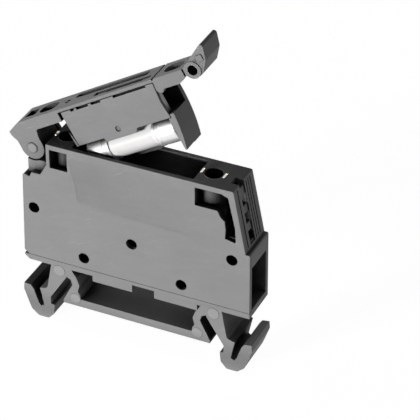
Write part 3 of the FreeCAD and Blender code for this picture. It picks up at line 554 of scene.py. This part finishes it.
def lathe(outline: list[tuple[float, float]], steps: int, closed: bool = False) -> bmesh.types.BMesh:
    """Turn an outline of (along X, radius) points about the X axis.

    Args:
        outline: The points, on the axis at both ends unless closed.
        steps: Divisions of the full turn.
        closed: Whether the last point joins the first, as in a ring.

    Returns:
        A closed mesh with its normals outwards.
    """
    work = bmesh.new()
    verts = [work.verts.new((along, radius, 0)) for along, radius in outline]
    pairs = list(zip(verts, verts[1:]))
    if closed:
        pairs.append((verts[-1], verts[0]))
    edges = [work.edges.new(pair) for pair in pairs]
    bmesh.ops.spin(
        work, geom=verts + edges, cent=(0, 0, 0), axis=(1, 0, 0), dvec=(0, 0, 0),
        angle=2 * math.pi, steps=steps, use_merge=True,
    )
    bmesh.ops.remove_doubles(work, verts=work.verts, dist=1e-7)
    bmesh.ops.recalc_face_normals(work, faces=work.faces)
    return work


def block(low: Vector, high: Vector, bevel: float, segments: int = 2) -> bmesh.types.BMesh:
    """Make a box with rounded edges.

    Args:
        low: Its lowest corner.
        high: Its highest corner.
        bevel: Radius of its edges.
        segments: Flats round each edge.

    Returns:
        The closed mesh.
    """
    work = bmesh.new()
    bmesh.ops.create_cube(work, size=1.0)
    bmesh.ops.scale(work, vec=high - low, verts=work.verts)
    bmesh.ops.translate(work, vec=(low + high) / 2, verts=work.verts)
    bmesh.ops.bevel(
        work, geom=work.edges[:], offset=bevel, affect="EDGES",
        segments=segments, profile=0.5, material=-1,
    )
    return work


def piece_from(
    work: bmesh.types.BMesh,
    name: str,
    place: Matrix | None = None,
    smooth_deg: float = 30.0,
) -> bpy.types.Object:
    """Make a scene object from a worked mesh and free the mesh.

    Args:
        work: The mesh in local coordinates.
        name: The new object's name.
        place: Where the mesh goes; its object stays at the origin.
        smooth_deg: Edges sharper than this stay sharp.

    Returns:
        The new object.
    """
    if place is not None:
        bmesh.ops.transform(work, matrix=place, verts=work.verts)
    mesh = bpy.data.meshes.new(name)
    work.to_mesh(mesh)
    work.free()
    mesh.shade_smooth()
    mesh.set_sharp_from_angle(angle=math.radians(smooth_deg))
    made = bpy.data.objects.new(name, mesh)
    bpy.context.scene.collection.objects.link(made)
    return made


# Sub-assemblies


class SubAssembly:
    """A group of pieces that is built and dressed together."""

    finishes: Finishes

    def keep(self, node: str, look: Look) -> bpy.types.Object:
        """Dress a CAD node whose shape is right.

        Args:
            node: The node's name.
            look: Its finish.

        Returns:
            The node's object.
        """
        piece = frame["nodes"][node]
        self.finishes.dress(piece, look)
        return piece

    def add(
        self, piece: bpy.types.Object, body: str, look: Look, *stands_for: str
    ) -> bpy.types.Object:
        """Put a new piece on its body and dress it.

        Args:
            piece: The piece.
            body: The body that it rides on.
            look: Its finish.
            stands_for: Nodes that it replaces.

        Returns:
            The same piece.
        """
        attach(piece, body)
        if stands_for:
            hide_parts(*stands_for)
        self.finishes.dress(piece, look)
        return piece


@dataclass(frozen=True)
class Moulding:
    """One moulded node.

    Attributes:
        node: Its name.
        body: The body that it rides on.
        look: Its finish.
        room: Shortest neighbour that a rounded edge may have, in edge radii.
    """

    node: str
    body: str
    look: Look
    room: float


@dataclass
class MouldedParts(SubAssembly):
    """Housing, side cover, lever and lever panel, with their moulded edges rounded."""

    finishes: Finishes
    edge_radius: float = 0.06 * MM
    edge_angle_deg: float = 35.0
    flat_deg: float = 0.5
    smooth_deg: float = 14.0
    ridge_slope: float = 0.18 * MM
    merge: float = 1e-6
    bevel_merge: float = 2e-7
    ridge_merge: float = 1e-7
    mouldings: tuple[Moulding, ...] = (
        Moulding("housing", "base", Look.HOUSING, 2.5),
        Moulding("side_cover", "base", Look.HOUSING, 0.0),
        Moulding("fuse_lever", "lever", Look.LEVER, 4.0),
        Moulding("lever_panel", "lever", Look.LEVER, 0.0),
    )
    ridge_level: float = COVER_FACE - FLOW_LINE_RISE / 2

    def can_round(self, edge: bmesh.types.BMEdge, room: float) -> bool:
        """Tell whether an edge is a sharp outer one with room for its radius.

        Args:
            edge: The edge.
            room: Shortest neighbour that it may have, in edge radii.

        Returns:
            True where it can be rounded. The cover's flow line is left out.
        """
        near = {other for vert in edge.verts for other in vert.link_edges}
        return (
            edge.is_manifold
            and edge.calc_face_angle_signed(0.0) > math.radians(self.edge_angle_deg)
            and edge.calc_length() > self.edge_radius * 3
            and min(vert.co.y for vert in edge.verts) > self.ridge_level
            and all(other.calc_length() > self.edge_radius * room for other in near)
        )

    def soften(self, moulding: Moulding) -> bmesh.types.BMesh:
        """Round the sharp outer edges of a node's merged copy.

        Args:
            moulding: The node.

        Returns:
            The worked mesh.
        """
        work = bmesh.new()
        work.from_mesh(frame["nodes"][moulding.node].data)
        bmesh.ops.remove_doubles(work, verts=work.verts, dist=self.merge)
        bmesh.ops.dissolve_degenerate(work, edges=work.edges, dist=self.merge)
        flat = math.radians(self.flat_deg)
        bmesh.ops.dissolve_limit(work, angle_limit=flat, verts=work.verts, edges=work.edges)
        sharp = [edge for edge in work.edges if self.can_round(edge, moulding.room)]
        bmesh.ops.bevel(
            work, geom=sharp, offset=self.edge_radius, affect="EDGES",
            segments=2, profile=0.5, material=-1, clamp_overlap=False,
        )
        bmesh.ops.remove_doubles(work, verts=work.verts, dist=self.bevel_merge)
        return work

    def slope_ridge(self, work: bmesh.types.BMesh) -> None:
        """Turn the upright sides of the cover's flow line into gentle slopes.

        Args:
            work: The cover's mesh.
        """
        level = self.ridge_level
        top = [face for face in work.faces if max(vert.co.y for vert in face.verts) < level]
        bmesh.ops.inset_region(work, faces=top, thickness=self.ridge_slope, use_even_offset=True)
        rim = []
        for vert in work.verts:
            below = [edge.other_vert(vert) for edge in vert.link_edges]
            below = [other for other in below if other.co.y > level]
            if vert.co.y < level and below:
                rim.append((vert, below[0]))
        for vert, foot in rim:
            vert.co = foot.co
        moved = [vert for pair in rim for vert in pair]
        bmesh.ops.remove_doubles(work, verts=moved, dist=self.ridge_merge)
        bmesh.ops.dissolve_degenerate(work, edges=work.edges, dist=self.ridge_merge)

    def build(self) -> list[bpy.types.Object]:
        """Round and dress the four moulded nodes.

        Returns:
            The four pieces.
        """
        made = []
        for moulding in self.mouldings:
            work = self.soften(moulding)
            if moulding.node == "side_cover":
                self.slope_ridge(work)
            piece = piece_from(work, f"{moulding.node}_moulded", smooth_deg=self.smooth_deg)
            made.append(self.add(piece, moulding.body, moulding.look, moulding.node))
        return made


@dataclass
class Fuse(SubAssembly):
    """The cartridge fuse: glazed tube, two rolled caps and the wire inside."""

    finishes: Finishes
    rim: float = 0.45 * MM
    rim_steps: int = 6
    lip: float = 0.06 * MM
    crimp_back: float = 1.0 * MM
    crimp_width: float = 0.45 * MM
    crimp_depth: float = 0.12 * MM
    crimp_floor: float = 0.6
    end_wall: float = 0.4 * MM
    tube_clearance: float = 0.02 * MM
    tube_edge: float = 0.12 * MM
    solder_radius: float = 0.75 * MM
    solder_edge: float = 0.15 * MM
    solder_sink: float = 0.05 * MM
    end_sink: float = 0.02 * MM
    bore: float = 1.5 * MM
    steps: int = 72

    def __post_init__(self) -> None:
        """Find the fuse's axis from its tube."""
        low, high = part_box("fuse_tube")
        self.centre = (low + high) / 2
        self.direction = (OPEN_TURN.to_3x3() @ Vector((1, 0, 0))).normalized()

    def cap(self, length: float, radius: float, inner: float) -> bmesh.types.BMesh:
        """Make a cap that starts at 0 with its closed end.

        Args:
            length: Where its open end is.
            radius: Its outer radius.
            inner: Its inner radius.

        Returns:
            The closed mesh.
        """
        outline = [
            (0.0, 0.0),
            (self.solder_sink, self.solder_radius),
            (self.end_sink, self.solder_radius + self.solder_edge),
        ]
        outline += arc((self.rim, radius - self.rim), self.rim, 180, 90, self.rim_steps)
        groove = length - self.crimp_back
        floor = self.crimp_width * self.crimp_floor
        outline += [
            (groove - self.crimp_width, radius),
            (groove - floor, radius - self.crimp_depth),
            (groove + floor, radius - self.crimp_depth),
            (groove + self.crimp_width, radius),
            (length - self.lip, radius),
            (length, radius - self.lip),
            (length, inner),
            (self.end_wall, inner),
            (self.end_wall, 0.0),
        ]
        return lathe(outline, self.steps)

    def build(self) -> list[bpy.types.Object]:
        """Build and dress the fuse's pieces.

        Returns:
            The tube, the wire and the two caps.
        """
        low, high, radius = reach("fuse_tube", self.centre, self.direction)
        edge = self.tube_edge
        tube = lathe(
            [(low, self.bore), (low, radius - edge), (low + edge, radius),
             (high - edge, radius), (high, radius - edge), (high, self.bore)],
            self.steps, closed=True,
        )
        place = axis_frame(self.centre, self.direction)
        made = [
            self.add(piece_from(tube, "fuse_tube_glazed", place), "lever", Look.CERAMIC, "fuse_tube"),
            self.keep("fuse_wire", Look.CONDUCTOR),
        ]
        for side, facing in ((Side.LEFT, 1), (Side.RIGHT, -1)):
            node = f"fuse_cap_{side.value}"
            near, far, outer = reach(node, self.centre, self.direction)
            start = near if facing > 0 else far
            work = self.cap(far - near, outer, radius + self.tube_clearance)
            at = axis_frame(self.centre + self.direction * start, self.direction * facing)
            made.append(self.add(piece_from(work, f"{node}_rolled", at), "lever", Look.CAP, node))
        return made


@dataclass
class ClampScrew(SubAssembly):
    """One clamp screw: slotted head and threaded shank."""

    finishes: Finishes
    side: Side
    head_height: float = 1.9 * MM
    shank_radius: float = 1.4 * MM
    root_depth: float = 0.24 * MM
    pitch: float = 0.5 * MM
    slot_width: float = 0.6 * MM
    slot_depth: float = 1.0 * MM
    edge: float = 0.22 * MM
    tip_share: float = 0.72
    tip_length: float = 0.3 * MM
    thread_start: float = 0.2 * MM
    thread_width: float = 0.9
    thread_sunk: float = 0.02 * MM
    shank_lap: float = 0.1 * MM
    turn_steps: int = 24
    steps: int = 40

    def head(self, low: float, high: float, radius: float) -> bmesh.types.BMesh:
        """Make the head with its driver slot cut across the top.

        Args:
            low: Where it starts along the screw.
            high: Where its top is.
            radius: Its radius.

        Returns:
            The closed mesh.
        """
        under = self.edge * 0.4
        work = lathe(
            [(low, 0.0), (low, radius - under), (low + under, radius),
             (high - self.edge, radius), (high, radius - self.edge), (high, 0.0)],
            self.steps,
        )
        half = self.slot_width / 2
        floor = high - self.slot_depth
        for point, normal in (((0, half, 0), (0, 1, 0)), ((0, -half, 0), (0, 1, 0)),
                              ((floor, 0, 0), (1, 0, 0))):
            bmesh.ops.bisect_plane(
                work, geom=work.verts[:] + work.edges[:] + work.faces[:],
                plane_co=point, plane_no=normal, dist=1e-8,
            )
        gone = [
            face for face in work.faces
            if abs(face.calc_center_median().y) < half and face.calc_center_median().x > floor + 1e-7
        ]
        bmesh.ops.delete(work, geom=gone, context="FACES")
        rim = [edge for edge in work.edges if edge.is_boundary]
        walls = {1: [], -1: [], 0: []}
        for edge in rim:
            middle = (edge.verts[0].co + edge.verts[1].co) / 2
            flat = abs(middle.x - floor) < 1e-7
            walls[0 if flat else (1 if middle.y > 0 else -1)].append(edge)
        for sign in (1, -1):
            ends = [
                vert for vert in {v for edge in walls[sign] for v in edge.verts}
                if abs(vert.co.x - floor) < 1e-7
            ]
            closing = work.edges.new(ends)
            bmesh.ops.contextual_create(work, geom=walls[sign] + [closing])
            walls[0].append(closing)
        bmesh.ops.contextual_create(work, geom=walls[0])
        bmesh.ops.recalc_face_normals(work, faces=work.faces)
        return work

    def shank(self, low: float, high: float) -> bmesh.types.BMesh:
        """Make the shank with a thread wound round its core.

        Args:
            low: Its tip along the screw.
            high: Its end in the head.

        Returns:
            The core and the thread, each closed.
        """
        root = self.shank_radius - self.root_depth
        tip = (low, root * self.tip_share)
        work = lathe(
            [(low, 0.0), tip, (low + self.tip_length, root), (high, root), (high, 0.0)], self.steps
        )
        turns = int((high - low - self.pitch) / self.pitch)
        start = low + self.thread_start
        width = self.pitch * self.thread_width
        foot = root - self.thread_sunk
        points = ((start, foot), (start + width / 2, self.shank_radius), (start + width, foot))
        verts = [work.verts.new((along, radius, 0)) for along, radius in points]
        edges = [work.edges.new((verts[i], verts[(i + 1) % 3])) for i in range(3)]
        bmesh.ops.spin(
            work, geom=verts + edges, cent=(0, 0, 0), axis=(1, 0, 0),
            dvec=(self.pitch / self.turn_steps, 0, 0),
            angle=2 * math.pi * turns, steps=self.turn_steps * turns,
        )
        open_ends = [edge for edge in work.edges if edge.is_boundary]
        bmesh.ops.holes_fill(work, edges=open_ends, sides=0)
        bmesh.ops.recalc_face_normals(work, faces=work.faces)
        return work

    def build(self) -> list[bpy.types.Object]:
        """Build and dress head and shank as one piece each.

        Returns:
            The head and the shank.
        """
        node = f"clamp_screw_{self.side.value}"
        body = f"screw_{self.side.value}"
        low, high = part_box(node)
        middle = (low + high) / 2
        place = axis_frame(Vector((middle.x, middle.y, 0)), Vector((0, 0, 1)))
        seat = high.z - self.head_height
        head = self.head(seat, high.z, (high.x - low.x) / 2)
        head = piece_from(head, f"{node}_head", place)
        shank = piece_from(self.shank(low.z, seat + self.shank_lap), f"{node}_shank", place)
        return [
            self.add(head, body, Look.STEEL, node),
            self.add(shank, body, Look.STEEL),
        ]


@dataclass
class Clamp(SubAssembly):
    """Fixed metal of one clamp place and its cage."""

    finishes: Finishes
    side: Side

    def build(self) -> list[bpy.types.Object]:
        """Dress the clamp's nodes.

        Returns:
            The cage, the current bar, the contact leaf, its rivet and the test contact.
        """
        side = self.side.value
        return [
            self.keep(f"clamp_cage_{side}", Look.STEEL),
            self.keep(f"clamp_bar_{side}", Look.CONDUCTOR),
            self.keep(f"contact_spring_{side}", Look.CONDUCTOR),
            self.keep(f"contact_rivet_{side}", Look.STEEL),
            # The test contact wears the darkened nickel copy, painted shade.
            self.keep(f"test_contact_{side}", Look.CONTACT_IN_PAINTED_SHADE),
        ]


@dataclass
class RoundMarks(SubAssembly):
    """Smooth round ejector marks on the near face of the rail foot, and the pivot pin's end."""

    finishes: Finishes
    proud: float = 0.06 * MM
    sunk: float = 0.1 * MM
    edge: float = 0.04 * MM
    upper_radius: float = 1.15 * MM
    upper_from_strut: float = 1.9 * MM
    upper_height: float = 7.0 * MM
    lower_radius: float = 1.05 * MM
    lower_x: float = 12.4 * MM
    lower_height: float = 1.7 * MM
    rail_half: float = 17.5 * MM
    pin_radius: float = 0.88 * MM
    pin_proud: float = 0.1 * MM
    hub_inset: float = 0.15 * MM
    steps: int = 36

    def disc(self, name: str, x: float, z: float, front: float, radius: float) -> bpy.types.Object:
        """Build one mark.

        Args:
            name: The mark's name.
            x: Its place along the block.
            z: Its height.
            front: Y of the face that it stands on.
            radius: Its radius.

        Returns:
            The dressed mark.
        """
        work = lathe(
            [(-self.sunk, 0.0), (-self.sunk, radius), (self.proud - self.edge, radius),
             (self.proud, radius - self.edge), (self.proud, 0.0)],
            self.steps,
        )
        place = axis_frame(Vector((x, front, z)), Vector((0, -1, 0)))
        return self.add(piece_from(work, name, place), "base", Look.MARK)

    def build(self) -> list[bpy.types.Object]:
        """Build a pair of marks on either half of the foot and the one on the pin.

        Returns:
            The five marks.
        """
        upper_x = self.rail_half - self.upper_from_strut
        made = []
        for sign, side in ((-1, Side.LEFT), (1, Side.RIGHT)):
            for row, x, z, radius in (
                ("upper", upper_x, self.upper_height, self.upper_radius),
                ("lower", self.lower_x, self.lower_height, self.lower_radius),
            ):
                name = f"foot_mark_{row}_{side.value}"
                made.append(self.disc(name, sign * x, z, COVER_FACE, radius))
        pin_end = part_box("fuse_lever")[0].y + self.hub_inset - self.pin_proud
        made.append(self.disc("pivot_pin_end", PIVOT.x, PIVOT.z, pin_end, self.pin_radius))
        return made


@dataclass
class PivotRest(SubAssembly):
    """Saddle on the housing's left shoulder, under the lever's hub."""

    finishes: Finishes
    saddle_radius: float = 2.7 * MM
    left_reach: float = 1.15 * MM
    right_reach: float = 3.25 * MM
    top_drop: float = 2.4 * MM
    foot_drop: float = 5.7 * MM
    front: float = -2.8 * MM
    rear: float = 3.3 * MM
    edge: float = 0.08 * MM
    edge_angle_deg: float = 50.0
    steps: int = 10

    def outline(self) -> list[tuple[float, float]]:
        """Draw the saddle's outline.

        Returns:
            The foot's two corners, the right side's top and the hollow's points, as (x, z).
        """
        right = PIVOT.x + self.right_reach
        foot = PIVOT.z - self.foot_drop
        corners = [(PIVOT.x - self.left_reach, foot), (right, foot), (right, PIVOT.z - self.top_drop)]
        start = math.degrees(math.acos(self.top_drop / self.saddle_radius)) - 90
        end = -math.degrees(math.asin(self.left_reach / self.saddle_radius)) - 90
        return corners + arc((PIVOT.x, PIVOT.z), self.saddle_radius, start, end, self.steps)

    def build(self) -> list[bpy.types.Object]:
        """Build the saddle from its outline.

        Returns:
            The one piece.
        """
        work = bmesh.new()
        verts = [work.verts.new((x, self.front, z)) for x, z in self.outline()]
        face = work.faces.new(verts)
        deeper = bmesh.ops.extrude_face_region(work, geom=[face])["geom"]
        moved = [item for item in deeper if isinstance(item, bmesh.types.BMVert)]
        bmesh.ops.translate(work, vec=(0, self.rear - self.front, 0), verts=moved)
        bmesh.ops.recalc_face_normals(work, faces=work.faces)
        limit = math.radians(self.edge_angle_deg)
        sharp = [edge for edge in work.edges if edge.calc_face_angle(0.0) > limit]
        bmesh.ops.bevel(
            work, geom=sharp, offset=self.edge, affect="EDGES",
            segments=2, profile=0.5, material=-1, clamp_overlap=True,
        )
        rest = piece_from(work, "pivot_rest")
        return [self.add(rest, "base", Look.HOUSING)]


@dataclass
class LinkTabs(SubAssembly):
    """Bright ends of a tinned link that show on both sides of a driver hole."""

    finishes: Finishes
    side: Side
    hole_radius: float = 1.7 * MM
    gap: float = 0.22 * MM
    width: float = 0.45 * MM
    length: float = 1.4 * MM
    proud: float = 0.12 * MM
    sunk: float = 0.25 * MM
    bevel: float = 0.05 * MM

    def build(self) -> list[bpy.types.Object]:
        """Build the two tab ends.

        Returns:
            The outer and the inner tab.
        """
        low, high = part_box(f"clamp_screw_{self.side.value}")
        middle = (low.x + high.x) / 2
        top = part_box("side_cover")[1].z
        made = []
        for label, sign in (("outer", 1), ("inner", -1)):
            near = middle + sign * (self.hole_radius + self.gap)
            far = near + sign * self.width
            work = block(
                Vector((min(near, far), -self.length / 2, top - self.sunk)),
                Vector((max(near, far), self.length / 2, top + self.proud)),
                self.bevel,
            )
            tab = piece_from(work, f"link_tab_{label}_{self.side.value}")
            made.append(self.add(tab, "base", Look.CONDUCTOR))
        return made


# Stage


@dataclass(frozen=True)
class Lamp:
    """One long soft lamp: its name, direction from the block, width in metres and power in watts."""

    name: str
    away: tuple[float, float, float]
    width: float
    power: float


@dataclass
class Studio:
    """Pale floor, plain soft light and the camera at the photograph's angle."""

    floor_half: float = 1.5
    floor_tone: float = 0.35
    floor_glow: float = 0.95
    ambient: float = 0.035
    floor_drop: float = 0.02 * MM
    lamps: tuple[Lamp, ...] = (
        Lamp("key_lamp", (-0.45, -0.85, 0.0), 0.25, 11.3),
        Lamp("flank_lamp", (0.95, -0.15, 0.0), 0.25, 1.5),
        Lamp("rear_lamp", (-0.2, 0.98, 0.0), 0.25, 6.0),
    )
    lamp_height: float = 0.12
    lamp_distance: float = 0.9
    camera_at_mm: tuple[float, float, float] = (145.97, -290.87, 244.55)
    azimuth_deg: float = 24.56
    elevation_deg: float = 34.32
    roll_deg: float = 0.14
    lens_mm: float = 188.25
    sensor_mm: float = 36.0
    view_range: tuple[float, float] = (0.01, 10.0)

    def floor(self) -> None:
        """Lay the floor under the lowest point of the block."""
        work = bmesh.new()
        bmesh.ops.create_grid(work, x_segments=1, y_segments=1, size=self.floor_half)
        bmesh.ops.translate(work, vec=(0, 0, CAD_BOX[0].z - self.floor_drop), verts=work.verts)
        made = piece_from(work, "floor")
        graph = empty_material("pale_floor")
        lit = graph.node("ShaderNodeBsdfDiffuse", {}, {"Color": grey(self.floor_tone)})
        strength = graph.seen() * self.floor_glow
        glow = graph.node("ShaderNodeEmission", {}, {"Color": grey(1.0), "Strength": strength})
        both = graph.node("ShaderNodeAddShader", {}, {0: lit, 1: glow})
        graph.node("ShaderNodeOutputMaterial", {}, {"Surface": both})
        made.data.materials.append(graph.owner)

    def world(self) -> None:
        """Make a plain dim world that shows white behind the block."""
        world = bpy.data.worlds.new("plain_world")
        bpy.context.scene.world = world
        graph = Graph(world)
        dim, white = (
            graph.node("ShaderNodeBackground", {}, {"Color": grey(1.0), "Strength": strength})
            for strength in (self.ambient, 1.0)
        )
        mix = graph.node("ShaderNodeMixShader", {}, {0: graph.seen(), 1: dim, 2: white})
        graph.node("ShaderNodeOutputWorld", {}, {"Surface": mix})

    def hang(self, lamp: Lamp) -> None:
        """Hang one lamp so that it faces the block.

        Args:
            lamp: The lamp.
        """
        away = Vector(lamp.away).normalized()
        light = bpy.data.lights.new(lamp.name, "AREA")
        light.shape = "RECTANGLE"
        light.size = lamp.width
        light.size_y = self.lamp_height
        light.energy = lamp.power
        made = bpy.data.objects.new(lamp.name, light)
        made.location = (CAD_BOX[0] + CAD_BOX[1]) / 2 + away * self.lamp_distance
        made.rotation_mode = "QUATERNION"
        made.rotation_quaternion = (-away).to_track_quat("-Z", "Y")
        bpy.context.scene.collection.objects.link(made)

    def camera(self) -> None:
        """Stand the camera where the photograph was taken from."""
        azimuth, elevation, roll = (
            math.radians(a) for a in (self.azimuth_deg, self.elevation_deg, self.roll_deg)
        )
        right = Vector((math.cos(azimuth), math.sin(azimuth), 0))
        ahead = Vector((
            -math.sin(azimuth) * math.cos(elevation),
            math.cos(azimuth) * math.cos(elevation),
            -math.sin(elevation),
        ))
        right = Matrix.Rotation(-roll, 3, ahead) @ right
        up = right.cross(ahead)
        data = bpy.data.cameras.new("camera")
        data.lens = self.lens_mm
        data.sensor_width = self.sensor_mm
        data.clip_start, data.clip_end = self.view_range
        made = bpy.data.objects.new("camera", data)
        turn = Matrix((right, up, -ahead)).transposed().to_4x4()
        made.matrix_world = Matrix.Translation(Vector(self.camera_at_mm) * MM) @ turn
        bpy.context.scene.collection.objects.link(made)
        bpy.context.scene.camera = made

    def build(self) -> None:
        """Set the whole stage."""
        self.camera()
        self.floor()
        self.world()
        for lamp in self.lamps:
            self.hang(lamp)
        bpy.context.scene.view_settings.view_transform = "Standard"


def main() -> None:
    """Build and dress the block, then set the stage."""
    logging.basicConfig(level=logging.INFO, format="%(name)s: %(message)s")
    Studio().build()
    finishes = Finishes()
    groups = [MouldedParts(finishes), Fuse(finishes), RoundMarks(finishes), PivotRest(finishes)]
    for side in Side:
        groups += [ClampScrew(finishes, side), Clamp(finishes, side), LinkTabs(finishes, side)]
    for group in groups:
        for piece in group.build():
            log.info("%s: %s, %d faces", type(group).__name__, piece.name, len(piece.data.polygons))


if __name__ == "__main__":
    main()
